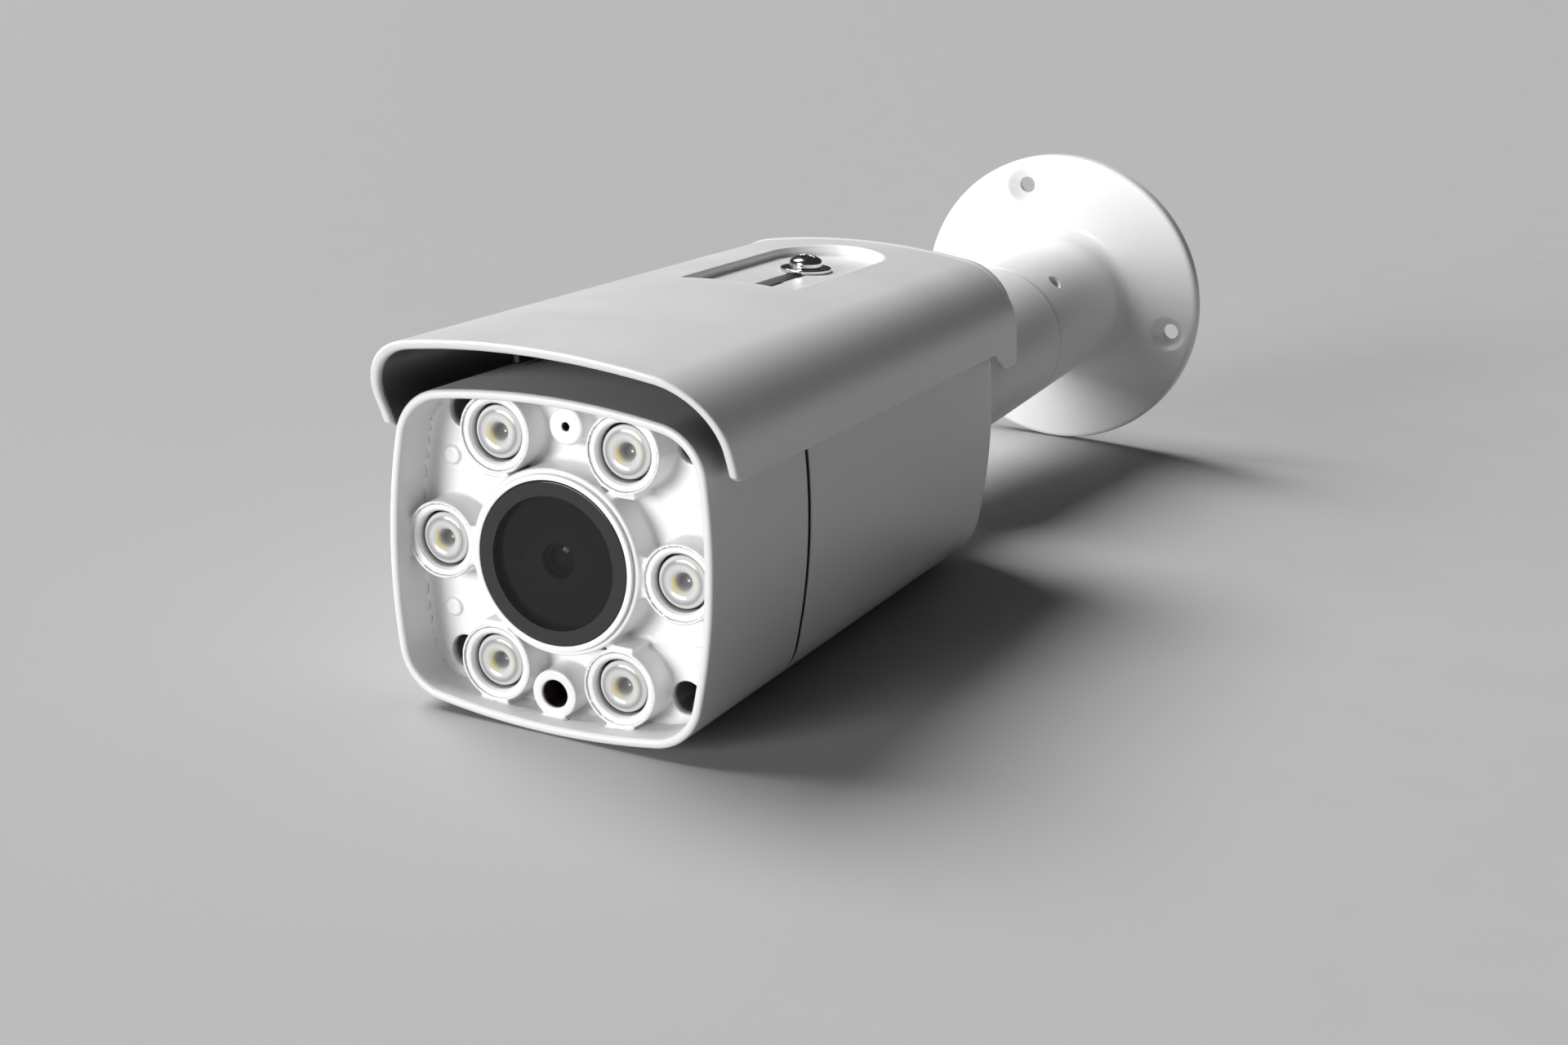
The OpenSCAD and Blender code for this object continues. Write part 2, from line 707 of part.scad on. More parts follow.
module pivot_bolt() {
    color([0.6, 0.6, 0.62]) in_yoke() difference() {
        union() {
            cross_bar(bolt_head_r, ear_out + 0.05, ear_out + bolt_head_t);
            cross_bar(pin_r, -ear_out - bolt_tail, ear_out + 0.1);
        }
        translate([ear_out + 2, 0, 0]) rotate([0, 90, 0])
            cylinder(h = bolt_head_t, r = bolt_key_r, $fn = 6);
    }
}
module pivot_nut() {
    color([0.6, 0.6, 0.62]) in_yoke() difference() {
        translate([-ear_out - pivot_nut_t - 0.1, 0, 0]) rotate([0, 90, 0])
            cylinder(h = pivot_nut_t, r = pivot_nut_r, $fn = 6);
        cross_bar(pin_r + run, -ear_out - bolt_tail - 1, 0);
    }
}

// ---- Arm and wall plate, in the bracket's own frame: +Y runs from the pin to the wall ----
plate_y = arm_reach - plate_t;
joint_y = plate_y - stub_len;
arm_end_y = joint_y - 0.1;
chamfer = 0.8;
arm_spigot_r = 14;
arm_spigot_end = joint_y + 19;
neck_y = 26;
neck_r = 12;
plate_hollow_r = 17;
cable_bore_y = 34;
cable_r = 10;
groove_r = 12.8;
retainer_t = 2;
retainer_r = 16.4;
groove_play = 0.1;
retainer_y = arm_spigot_end - retainer_t - 0.6;
module arm_tube() {
    color([0.9, 0.89, 0.9]) in_bracket() difference() {
        union() {
            difference() {
                spun([[0, 6], [13, 6], [arm_r - 2, neck_y - 7], [arm_r, neck_y],
                    [arm_r, arm_end_y - chamfer], [arm_r - chamfer, arm_end_y], [0, arm_end_y]]);
                // Room for the yoke's ears to swing on both sides of the tongue
                in_knuckle() cross_bar(neck_r, -40, 40);
            }
            bar(arm_spigot_r, joint_y - 1, arm_spigot_end);
            in_knuckle() {
                cross_bar(tongue_r, -tongue_t / 2, tongue_t / 2);
                block([tongue_t, 14, 2 * tongue_r], [0, 7, 0]);
            }
        }
        bar(cable_r, cable_bore_y, arm_spigot_end + 1);
        in_knuckle() cross_bar(pin_r + run, -tongue_t, tongue_t);
        // Groove for the retaining ring
        difference() {
            bar(arm_spigot_r + 1, retainer_y - groove_play, retainer_y + retainer_t + groove_play);
            bar(groove_r, retainer_y - 1, retainer_y + retainer_t + 1);
        }
    }
}
module arm_retainer() {
    color([0.7, 0.7, 0.72]) in_bracket() difference() {
        bar(retainer_r, retainer_y, retainer_y + retainer_t);
        bar(groove_r + run, 0, arm_reach);
    }
}
grub_from_plate = 38.8;
grub_y = plate_y - grub_from_plate;
grub_angle = 49;
grub_len = 5;
grub_key_r = 1.15;
grub_key_depth = 2;
module at_grub() { translate([0, grub_y, 0]) rotate([0, -grub_angle, 0]) rotate([0, 90, 0]) children(); }
module grub_screw() {
    color([0.3, 0.3, 0.32]) in_bracket() at_grub() difference() {
        translate([0, 0, arm_spigot_r + 0.3]) cylinder(h = grub_len, r = m4_r);
        translate([0, 0, arm_spigot_r + 0.3 + grub_len - grub_key_depth])
            cylinder(h = grub_key_depth + 1, r = grub_key_r, $fn = 6);
    }
}
root_round = 4;
plate_round = 1.5;
plate_hole_angle = 110;
sink_r = 5.5;
sink_depth = 3;
plate_hole_r = 2.5;
module wall_plate() {
    color([0.95, 0.94, 0.95]) in_bracket() difference() {
        spun(concat(
            [[0, joint_y], [arm_r - chamfer, joint_y], [arm_r, joint_y + chamfer]],
            arc([arm_r + root_round, plate_y - root_round], root_round, 180, 90, 6),
            arc([plate_r - plate_round, plate_y + plate_round], plate_round, -90, 0, 4),
            [[plate_r, arm_reach], [0, arm_reach]]));
        bar(arm_spigot_r + run, joint_y - 1, arm_reach + 1);
        bar(plate_hollow_r, retainer_y - groove_play, arm_reach + 1);
        for (i = [0:2]) {
            rotate([0, -(plate_hole_angle + i * 120), 0]) translate([plate_hole_ring_r, 0, 0]) {
                bar(plate_hole_r, plate_y - 1, arm_reach + 1);
                bar(sink_r, plate_y, plate_y + sink_depth, plate_hole_r);
                bar(sink_r, plate_y - 1, plate_y + eps);
            }
        }
        at_grub() cylinder(h = 40, r = m4_r + run);
    }
}

front_cover();
bezel();
window_ring();
window_glass();
window_seal();
led_lens(0);  // led_lens_1
led_lens(1);  // led_lens_2
led_lens(2);  // led_lens_3
led_lens(3);  // led_lens_4
led_lens(4);  // led_lens_5
led_lens(5);  // led_lens_6
led_emitter(0);  // led_emitter_1
led_emitter(1);  // led_emitter_2
led_emitter(2);  // led_emitter_3
led_emitter(3);  // led_emitter_4
led_emitter(4);  // led_emitter_5
led_emitter(5);  // led_emitter_6
led_board();
led_board_screws();
heat_sink();
microphone();
light_sensor();
lens_shroud();
lens_barrel();
lens_glass();
lens_lock_ring();
lens_holder();
ir_cut_shuttle();
ir_cut_filters();
ir_cut_coil();
image_sensor();
sensor_board();
board_spacers();
main_board();
board_screws();
cable_header();
cover_gasket();
cover_screws();
rear_casing();
cable_grommet();
sunshade();
shade_washer();
shade_screw();
roll_washer();
roll_nut();
yoke();
pivot_bolt();
pivot_nut();
arm_tube();
arm_retainer();
grub_screw();
wall_plate();
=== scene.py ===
"""Looks of the bullet security camera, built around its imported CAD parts.

Shapes are worked out in millimetres, either in the head's own frame (lens axis at the origin, front
plane of the lamp cups at y = 0) or in the bracket's own frame (knuckle pin at the origin, +Y to the wall).
"""
import json
import math

import bpy
import numpy as np
from mathutils import Matrix, Vector


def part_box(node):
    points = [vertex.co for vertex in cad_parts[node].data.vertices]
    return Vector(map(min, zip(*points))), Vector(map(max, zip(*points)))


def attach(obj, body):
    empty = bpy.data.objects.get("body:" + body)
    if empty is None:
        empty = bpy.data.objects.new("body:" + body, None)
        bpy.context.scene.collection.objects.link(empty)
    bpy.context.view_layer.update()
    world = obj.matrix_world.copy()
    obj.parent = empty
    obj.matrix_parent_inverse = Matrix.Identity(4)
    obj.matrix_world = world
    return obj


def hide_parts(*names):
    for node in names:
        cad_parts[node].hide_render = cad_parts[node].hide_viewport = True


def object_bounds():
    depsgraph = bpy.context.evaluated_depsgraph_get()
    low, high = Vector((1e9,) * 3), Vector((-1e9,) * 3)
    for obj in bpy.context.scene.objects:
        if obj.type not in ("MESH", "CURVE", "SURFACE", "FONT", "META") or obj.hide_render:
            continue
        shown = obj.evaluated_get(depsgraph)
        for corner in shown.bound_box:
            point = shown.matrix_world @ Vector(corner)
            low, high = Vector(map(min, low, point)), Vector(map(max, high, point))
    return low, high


MM = 0.001
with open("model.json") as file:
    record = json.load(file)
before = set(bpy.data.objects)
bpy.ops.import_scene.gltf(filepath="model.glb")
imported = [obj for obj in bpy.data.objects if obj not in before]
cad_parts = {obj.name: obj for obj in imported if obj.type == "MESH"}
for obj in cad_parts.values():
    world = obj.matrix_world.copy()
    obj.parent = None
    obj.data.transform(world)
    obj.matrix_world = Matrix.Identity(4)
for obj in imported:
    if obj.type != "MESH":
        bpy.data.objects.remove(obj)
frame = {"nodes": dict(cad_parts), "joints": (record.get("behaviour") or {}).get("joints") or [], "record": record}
CAD_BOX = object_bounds()
joints = {joint["name"]: joint for joint in frame["joints"]}
slots = {part["node"]: part["material_slot"] for part in frame["record"]["subparts"]}

# ---- Frames ----
GLASS_Y = -1.8
glass_low, glass_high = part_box("window_glass")
glass_mid = (glass_low + glass_high) / 2
HEAD_AT = Vector((glass_mid.x, glass_low.y - GLASS_Y * MM, glass_mid.z))
HEAD = Matrix.Translation(HEAD_AT) @ Matrix.Scale(MM, 4)
PIN_AT = Vector(joints["head_tilt"]["pos_m"])
PIN_AXIS = Vector(joints["head_tilt"]["axis"]).normalized()
TO_WALL = -Vector(joints["arm_swivel"]["axis"]).normalized()
LEAN = Vector((0, 1, 0)).rotation_difference(TO_WALL).to_matrix().to_4x4()
BRACKET = Matrix.Translation(PIN_AT) @ LEAN @ Matrix.Scale(MM, 4)
PIN_TURN = Matrix.Rotation(math.atan2(-PIN_AXIS.z, PIN_AXIS.x), 4, "Y")
YOKE = Matrix.Translation(PIN_AT) @ PIN_TURN @ Matrix.Scale(MM, 4)

# ---- Sizes in millimetres ----
DROP = 0.3
WALL = 2.0
RIM_Y = -4.7
REAR_Y = 160.0
SEAM_Y, REAR_FRONT_Y = 39.5, 41.2
REAR_ROUND = 10.0
FLOOR_Y, PLATE_BACK = 7.0, 9.0
LAMPS = [(28.5, 0), (15.1, 25), (-15.1, 25), (-28.5, 0), (-15.1, -25), (15.1, -25)]
WELLS = [(x, z) for x in (-27.3, 27.3) for z in (-26.8, 26.8)]
BUMPS = [(x, z) for x in (-30, 30) for z in (-17, 17)]
MIC, TUBE = (0.7, 28.2), (-0.5, -29.2)


class Outline:
    """A bulged rectangle: side arcs, crown arcs and a corner arc tangent to both."""

    def __init__(self, half_w, half_h, corner, side_sag, top_sag):
        self.top_r = (half_w**2 + top_sag**2) / (2 * top_sag)
        self.side_r = (half_h**2 + side_sag**2) / (2 * side_sag)
        self.top_c, self.side_c = half_h - self.top_r, half_w - self.side_r
        self.corner_r = corner
        gap = math.hypot(self.side_c, self.top_c)
        ux, uz = self.side_c / gap, -self.top_c / gap
        top, side = self.top_r - corner, self.side_r - corner
        along = (top**2 - side**2 + gap**2) / (2 * gap)
        across = math.sqrt(top**2 - along**2)
        self.corner = (along * ux + across * uz, self.top_c + along * uz - across * ux)
        self.low = math.atan2(self.corner[1], self.corner[0] - self.side_c)
        self.high = math.atan2(self.corner[1] - self.top_c, self.corner[0])

    def distance(self, x, z):
        x, z = np.abs(x), np.abs(z)
        angle = np.arctan2(z - self.corner[1], x - self.corner[0])
        side = np.hypot(x - self.side_c, z) - self.side_r
        top = np.hypot(x, z - self.top_c) - self.top_r
        corner = np.hypot(x - self.corner[0], z - self.corner[1]) - self.corner_r
        beyond = (x > self.corner[0]) & (angle < self.low) & (angle > -math.pi / 2)
        inner = (x <= self.corner[0]) & (z <= self.corner[1])
        curve = np.where(beyond, side, np.where(angle > self.high, top, corner))
        return np.where(inner, np.maximum(side, top), curve)

    def ring(self, inset):
        quarter = []
        spans = [
            ((self.side_c, 0), self.side_r, 0, self.low, 9),
            (self.corner, self.corner_r, self.low, self.high, 16),
            ((0, self.top_c), self.top_r, self.high, math.pi / 2, 9),
        ]
        for (cx, cz), r, a0, a1, n in spans:
            for i in range(n):
                a = a0 + (a1 - a0) * i / n
                quarter.append((cx + (r - inset) * math.cos(a), cz + (r - inset) * math.sin(a)))
        top = (0, self.top_c + self.top_r - inset)
        side = [(-x, z) for x, z in reversed(quarter)]
        half = quarter + [top] + side
        return half + [(-x, -z) for x, z in half[1:-1]]


HOUSING = Outline(38.48, 35.98, 12.3, 4.6, 4.4)


# ---- Distance fields ----
def join(a, b, r):
    """Union with a fillet of radius r."""
    return np.maximum(r, np.minimum(a, b)) - np.hypot(np.maximum(r - a, 0), np.maximum(r - b, 0))


def meet(a, b, r):
    """Intersection with an edge rounded to radius r."""
    return np.minimum(-r, np.maximum(a, b)) + np.hypot(np.maximum(r + a, 0), np.maximum(r + b, 0))


def cut(a, b, r):
    """a less b, with its edge rounded to radius r."""
    return meet(a, -b, r)


def circle(x, z, centre, r):
    return np.hypot(x - centre[0], z - centre[1]) - r


def rect(x, z, centre, half, r):
    return meet(np.abs(x - centre[0]) - half[0], np.abs(z - centre[1]) - half[1], r)


def between(t, low, high):
    return np.abs(t - (low + high) / 2) - (high - low) / 2


def polygon(u, v, corners):
    """Signed distance to a closed polygon."""
    best = np.full(np.shape(u), 1e9)
    sign = np.ones(np.shape(u))
    for (ax, ay), (bx, by) in zip(corners, corners[1:] + corners[:1]):
        ex, ey = bx - ax, by - ay
        wx, wy = u - ax, v - ay
        t = np.clip((wx * ex + wy * ey) / (ex * ex + ey * ey), 0, 1)
        best = np.minimum(best, np.hypot(wx - ex * t, wy - ey * t))
        up, down = (v >= ay) & (v < by), (v < ay) & (v >= by)
        crossing = ex * wy - ey * wx
        sign = np.where((up & (crossing > 0)) | (down & (crossing < 0)), -sign, sign)
    return best * sign


# ---- Meshes ----
def new_piece(name, points, faces, place, normals=None):
    mesh = bpy.data.meshes.new(name)
    mesh.from_pydata([place @ Vector(p) for p in points], [], faces)
    mesh.validate()
    mesh.polygons.foreach_set("use_smooth", [True] * len(mesh.polygons))
    if normals is not None:
        turn = place.to_3x3().normalized()
        mesh.normals_split_custom_set_from_vertices([turn @ Vector(n) for n in normals])
    piece = bpy.data.objects.new(name, mesh)
    bpy.context.scene.collection.objects.link(piece)
    return piece


def slope(field, points, reach=0.04):
    grad = np.empty_like(points)
    for k in range(3):
        step = np.zeros(3)
        step[k] = reach
        grad[:, k] = (field(*(points + step).T) - field(*(points - step).T)) / (2 * reach)
    return grad


def carve(name, field, low, high, step, place):
    """Mesh of the surface where field is zero: one vertex per crossed cell, settled onto the surface."""
    low = np.array(low, float)
    counts = [int(math.ceil((b - a) / step)) + 2 for a, b in zip(low, high)]
    xs, ys, zs = (low[k] + step * (np.arange(counts[k]) - 0.5) for k in range(3))
    base = low - step / 2
    grid_y, grid_z = np.meshgrid(ys, zs, indexing="ij")
    value = np.array([field(np.full_like(grid_y, x), grid_y, grid_z) for x in xs])
    inside = value < 0
    total = np.zeros([c - 1 for c in counts], np.int8)
    for i in (0, 1):
        for j in (0, 1):
            for k in (0, 1):
                total += inside[i : counts[0] - 1 + i, j : counts[1] - 1 + j, k : counts[2] - 1 + k]
    active = (total > 0) & (total < 8)
    cells = np.argwhere(active)
    index = np.full(active.shape, -1, np.int64)
    index[active] = np.arange(len(cells))
    spots, hits = np.zeros((len(cells), 3)), np.zeros(len(cells))
    for axis in range(3):
        u, v = (axis + 1) % 3, (axis + 2) % 3
        for du in (0, 1):
            for dv in (0, 1):
                a = cells.copy()
                a[:, u] += du
                a[:, v] += dv
                b = a.copy()
                b[:, axis] += 1
                fa, fb = value[tuple(a.T)], value[tuple(b.T)]
                crossed = (fa < 0) != (fb < 0)
                point = a.astype(float)
                point[:, axis] += np.where(crossed, fa / np.where(crossed, fa - fb, 1), 0)
                spots[crossed] += point[crossed]
                hits[crossed] += 1
    points = base + step * spots / hits[:, None]
    for _ in range(3):
        grad = slope(field, points)
        size = np.maximum((grad**2).sum(1), 0.2)
        move = -(field(*points.T) / size)[:, None] * grad
        points += np.clip(move, -0.4 * step, 0.4 * step)
    faces = []
    for axis in range(3):
        u, v = (axis + 1) % 3, (axis + 2) % 3
        a = np.take(inside, range(counts[axis] - 1), axis)
        b = np.take(inside, range(1, counts[axis]), axis)
        edges = np.argwhere(a != b)
        for k in (u, v):
            edges = edges[(edges[:, k] > 0) & (edges[:, k] < counts[k] - 1)]
        solid = a[tuple(edges.T)]
        one_u, one_v = np.eye(3, dtype=int)[u], np.eye(3, dtype=int)[v]
        around = [edges - one_u - one_v, edges - one_v, edges, edges - one_u]
        quads = np.stack([index[tuple(c.T)] for c in around], 1)
        faces.append(np.where(solid[:, None], quads, quads[:, ::-1]))
    grad = slope(field, points)
    grad /= np.maximum(np.linalg.norm(grad, axis=1), 1e-6)[:, None]
    return new_piece(name, points.tolist(), np.concatenate(faces).tolist(), place, grad.tolist())


def arc(centre, r, a0, a1, n=5):
    return [
        (centre[0] + r * math.cos(math.radians(a0 + (a1 - a0) * i / n)),
         centre[1] + r * math.sin(math.radians(a0 + (a1 - a0) * i / n)))
        for i in range(n + 1)
    ]


def loft(name, rings, place, closed=False):
    """Skin over rings of points; the two ends are capped, or joined when closed."""
    n = len(rings[0])
    points = [p for ring in rings for p in ring]
    faces = []
    last = len(rings) if closed else len(rings) - 1
    for i in range(last):
        a, b = i * n, ((i + 1) % len(rings)) * n
        faces += [(a + j, b + j, b + (j + 1) % n, a + (j + 1) % n) for j in range(n)]
    if not closed:
        faces += [tuple(range(n)), tuple(reversed(range(len(points) - n, len(points))))]
    piece = new_piece(name, points, faces, place)
    piece.modifiers.new("even", "WEIGHTED_NORMAL").weight = 60
    return piece


def housing_loft(name, path, closed=False):
    """A skin of the housing's outline along a path of (inset, y)."""
    rings = [[(x, y, z - DROP) for x, z in HOUSING.ring(inset)] for inset, y in path]
    return loft(name, rings, HEAD, closed)


def turned(name, path, place, centre=(0, 0), n=72, closed=False):
    """A solid of revolution about a line along Y, from (radius, y)."""
    turns = [(math.cos(math.tau * j / n), math.sin(math.tau * j / n)) for j in range(n)]
    rings = [[(centre[0] + r * c, y, centre[1] + r * s) for c, s in turns] for r, y in path]
    return loft(name, rings, place, closed)


# ---- Materials ----
def material(name, color, rough, metal=0.0, grain=0.0, grain_size=900, drift=0.03, **sockets):
    """A finish whose colour and roughness drift a little and whose surface has a fine grain."""
    mat = bpy.data.materials.new(name)
    mat.use_nodes = True
    nodes, links = mat.node_tree.nodes, mat.node_tree.links
    shader = nodes["Principled BSDF"]
    shader.inputs["Metallic"].default_value = metal
    for key, value in sockets.items():
        shader.inputs[key.replace("_", " ")].default_value = value
    where = nodes.new("ShaderNodeTexCoord").outputs["Object"]
    cloud = nodes.new("ShaderNodeTexNoise")
    cloud.inputs["Scale"].default_value = 45
    cloud.inputs["Detail"].default_value = 5
    links.new(where, cloud.inputs["Vector"])
    tint = nodes.new("ShaderNodeMapRange")
    tint.inputs["To Min"].default_value = 1 - drift
    tint.inputs["To Max"].default_value = 1 + drift
    links.new(cloud.outputs["Fac"], tint.inputs["Value"])
    paint = nodes.new("ShaderNodeVectorMath")
    paint.operation = "SCALE"
    paint.inputs[0].default_value = color
    links.new(tint.outputs["Result"], paint.inputs["Scale"])
    links.new(paint.outputs["Vector"], shader.inputs["Base Color"])
    gloss = nodes.new("ShaderNodeMapRange")
    gloss.inputs["To Min"].default_value = max(rough * 0.8, 0.01)
    gloss.inputs["To Max"].default_value = rough * 1.2
    links.new(cloud.outputs["Fac"], gloss.inputs["Value"])
    links.new(gloss.outputs["Result"], shader.inputs["Roughness"])
    if grain:
        peel = nodes.new("ShaderNodeTexNoise")
        peel.inputs["Scale"].default_value = grain_size
        peel.inputs["Detail"].default_value = 3
        links.new(where, peel.inputs["Vector"])
        bump = nodes.new("ShaderNodeBump")
        bump.inputs["Strength"].default_value = grain
        bump.inputs["Distance"].default_value = 0.0001
        links.new(peel.outputs["Fac"], bump.inputs["Height"])
        links.new(bump.outputs["Normal"], shader.inputs["Normal"])
    return mat


FINISH = {
    "white_cover": material("white_cover", (0.77, 0.765, 0.76), 0.38, grain=0.25),
    "white_shade": material("white_shade", (0.75, 0.745, 0.75), 0.36, grain=0.25),
    "white_bezel": material("white_bezel", (0.86, 0.855, 0.86), 0.3, grain=0.1),
    "white_bracket": material("white_bracket", (0.82, 0.815, 0.82), 0.4, grain=0.4, grain_size=1500),
    "black_rubber": material(
        "black_rubber", (0.003, 0.003, 0.003), 0.7, grain=0.3, Specular_IOR_Level=0.12
    ),
    "led_phosphor": material("led_phosphor", (0.93, 0.68, 0.14), 0.5, grain=0.2),
    "led_board_white": material("led_board_white", (0.8, 0.8, 0.78), 0.4, grain=0.1),
    "circuit_board": material("circuit_board", (0.015, 0.12, 0.05), 0.35, grain=0.2),
    "zinc_steel": material("zinc_steel", (0.55, 0.55, 0.57), 0.3, metal=1, grain=0.2),
    "bare_aluminium": material("bare_aluminium", (0.7, 0.71, 0.73), 0.35, metal=1, grain=0.3),
    "sensor_amber": material("sensor_amber", (0.05, 0.02, 0.01), 0.15, grain=0.05),
    "black_plastic": material("black_plastic", (0.012, 0.012, 0.013), 0.4, grain=0.2),
    "shroud_grey": material("shroud_grey", (0.12, 0.115, 0.12), 0.5, grain=0.3),
    "lens_coating": material("lens_coating", (0.02, 0.015, 0.035), 0.04, grain=0.02, Coat_Weight=1.0),
    "turned_brass": material("turned_brass", (0.7, 0.5, 0.2), 0.25, metal=1, grain=0.2),
    "filter_glass": material("filter_glass", (0.3, 0.6, 0.7), 0.05, grain=0.02),
    "copper_coil": material("copper_coil", (0.6, 0.22, 0.08), 0.35, metal=1, grain=0.8, grain_size=2500),
    "sensor_die": material("sensor_die", (0.02, 0.06, 0.05), 0.1, grain=0.05),
    "nylon": material("nylon", (0.8, 0.78, 0.7), 0.45, grain=0.2),
    "polished_steel": material("polished_steel", (0.62, 0.62, 0.64), 0.16, metal=1, grain=0.1),
    "black_steel": material("black_steel", (0.06, 0.06, 0.065), 0.4, metal=1, grain=0.3),
    "led_optic": material("led_optic", (0.82, 0.82, 0.83), 0.14, grain=0.02, Alpha=0.92),
    "smoked_glass": material("smoked_glass", (0.006, 0.006, 0.006), 0.05, grain=0.02, Alpha=0.45),
}


def two_tone(mat, mask_name, other):
    """Blend the finish towards another colour where the mesh says so."""
    nodes, links = mat.node_tree.nodes, mat.node_tree.links
    base = nodes["Principled BSDF"].inputs["Base Color"]
    mask = nodes.new("ShaderNodeAttribute")
    mask.attribute_name = mask_name
    blend = nodes.new("ShaderNodeMix")
    blend.data_type = "RGBA"
    blend.inputs["B"].default_value = (*other, 1)
    links.new(mask.outputs["Fac"], blend.inputs["Factor"])
    links.new(base.links[0].from_socket, blend.inputs["A"])
    links.new(blend.outputs["Result"], base)


def painted(mat, paint_name):
    """Take the finish's colour from the mesh."""
    nodes, links = mat.node_tree.nodes, mat.node_tree.links
    base = nodes["Principled BSDF"].inputs["Base Color"]
    paint = nodes.new("ShaderNodeAttribute")
    paint.attribute_name = paint_name
    links.new(paint.outputs["Color"], base.links[0].from_node.inputs[0])


painted(FINISH["led_optic"], "paint")
# Painted shade: the sunshade's inner faces are darkened to near black where shade falls under it
two_tone(FINISH["white_shade"], "painted_underside_shade", (0.014, 0.014, 0.015))
# Painted shade in the bezel's holes and wells
two_tone(FINISH["white_bezel"], "depth", (0.03, 0.03, 0.03))
two_tone(FINISH["smoked_glass"], "border", (0.03, 0.029, 0.03))
# The window's printed border is opaque
window_tree = FINISH["smoked_glass"].node_tree
cover = window_tree.nodes.new("ShaderNodeMapRange")
cover.inputs["To Min"].default_value = 0.45
window_tree.links.new(window_tree.nodes["Attribute"].outputs["Fac"], cover.inputs["Value"])
window_tree.links.new(cover.outputs["Result"], window_tree.nodes["Principled BSDF"].inputs["Alpha"])
for node, piece in frame["nodes"].items():
    piece.data.materials.clear()
    piece.data.materials.append(FINISH[slots[node]])


def settle(piece, body, *nodes):
    """The piece stands for these CAD nodes, takes the first one's finish and moves with its body."""
    piece.data.materials.append(FINISH[slots[nodes[0]]])
    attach(piece, body)
    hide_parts(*nodes)
    return piece


# ---- Housing ----
SEAM_ROUND, RIM_ROUND = 0.25, 0.85
front_path = (
    [(WALL, SEAM_Y)]
    + arc((SEAM_ROUND, SEAM_Y - SEAM_ROUND), SEAM_ROUND, 90, 180)
    + [(0, 20), (0, 5)]
    + arc((RIM_ROUND, RIM_Y + RIM_ROUND), RIM_ROUND, 180, 270)
    + arc((WALL - RIM_ROUND, RIM_Y + RIM_ROUND), RIM_ROUND, 270, 360)
    + [(WALL, 2), (WALL, PLATE_BACK + 2)]
)
settle(housing_loft("front_cover_skin", front_path, closed=True), "head", "front_cover")
rear_path = (
    [(7, REAR_Y - 3), (WALL, REAR_Y - REAR_ROUND), (WALL, REAR_FRONT_Y)]
    + arc((SEAM_ROUND, REAR_FRONT_Y + SEAM_ROUND), SEAM_ROUND, 270, 180)
    + [(0, 60), (0, 100), (0, 140)]
    + arc((REAR_ROUND, REAR_Y - REAR_ROUND), REAR_ROUND, 180, 90, 10)
    + [(REAR_ROUND + 8, REAR_Y)]
)
settle(housing_loft("rear_casing_skin", rear_path), "head", "rear_casing")
gasket_path = [(3.5, SEAM_Y), (0.4, SEAM_Y), (0.2, SEAM_Y + 0.3)]
gasket_path += [(0.2, REAR_FRONT_Y - 0.3), (0.4, REAR_FRONT_Y), (3.5, REAR_FRONT_Y)]
settle(housing_loft("gasket_skin", gasket_path, closed=True), "head", "cover_gasket")

# ---- Bezel ----
CUP_R, CUP_BORE = 8.5, 6.2
BARREL_R, BARREL_Y = 19.95, -0.9
RING_Y = -1.9
WELL_R, WELL_END = 3.6, 18.5
TUBE_R, TUBE_BORE = 5.3, 3.05


def bezel_field(x, y, z):
    wall = HOUSING.distance(x, z + DROP) + WALL
    solid = join(FLOOR_Y - y, -wall, 2.4)
    for cx, cz in LAMPS:
        cup = meet(circle(x, z, (cx, cz), CUP_R), -y, 0.35)
        half = (9, 4.3) if cz == 0 else (3, 9.3)
        ear = meet(rect(x, z, (cx, cz), half, 0.3), 0.3 - y, 0.3)
        solid = join(solid, join(cup, ear, 0.4), 0.9)
    barrel = meet(circle(x, z, (0, 0), BARREL_R), BARREL_Y - y, 0.5)
    solid = join(solid, barrel, 1.2)
    solid = join(solid, meet(circle(x, z, MIC, 4.0), 2 - y, 0.8), 1.5)
    solid = join(solid, meet(circle(x, z, TUBE, TUBE_R), -y, 0.35), 0.8)
    for bump in BUMPS:
        solid = join(solid, meet(circle(x, z, bump, 2.0), FLOOR_Y - 0.8 - y, 0.6), 0.4)
    solid = meet(solid, y - PLATE_BACK, 0.2)
    for well in WELLS:
        solid = np.minimum(solid, meet(circle(x, z, well, 4.8), between(y, 7.5, 20), 0.3))
    for lamp in LAMPS:
        rim = meet(circle(x, z, lamp, 7.75), y - 0.45, 0.1)
        chamfer = np.clip(1.1 - y, 0, 1.1) * 0.6
        bore = (circle(x, z, lamp, CUP_BORE) - chamfer) * 0.9
        solid = cut(cut(solid, rim, 0.15), bore, 0.2)
    solid = cut(solid, meet(circle(x, z, (0, 0), 17.6), y - 1.3, 0.2), 0.2)
    solid = cut(solid, circle(x, z, (0, 0), 15.6), 0.2)
    solid = cut(solid, circle(x, z, MIC, 0.95), 0.15)
    solid = cut(solid, circle(x, z, TUBE, TUBE_BORE), 0.5)
    for well in WELLS:
        solid = cut(solid, meet(circle(x, z, well, WELL_R), y - WELL_END, 0.2), 0.35)
    return meet(solid, wall - 0.2, 0.05)


FINE = 0.42
bezel = carve("bezel_skin", bezel_field, (-37.2, -1.5, -37), (37.2, 20.5, 36.4), FINE, HEAD)
settle(bezel, "head", "bezel")
TO_HEAD = HEAD.inverted()


def head_points(piece):
    return np.array([TO_HEAD @ v.co for v in piece.data.vertices])


def mask(piece, name, values):
    layer = piece.data.attributes.new(name, "FLOAT", "POINT")
    layer.data.foreach_set("value", np.asarray(values, np.float32))


spots = head_points(bezel)
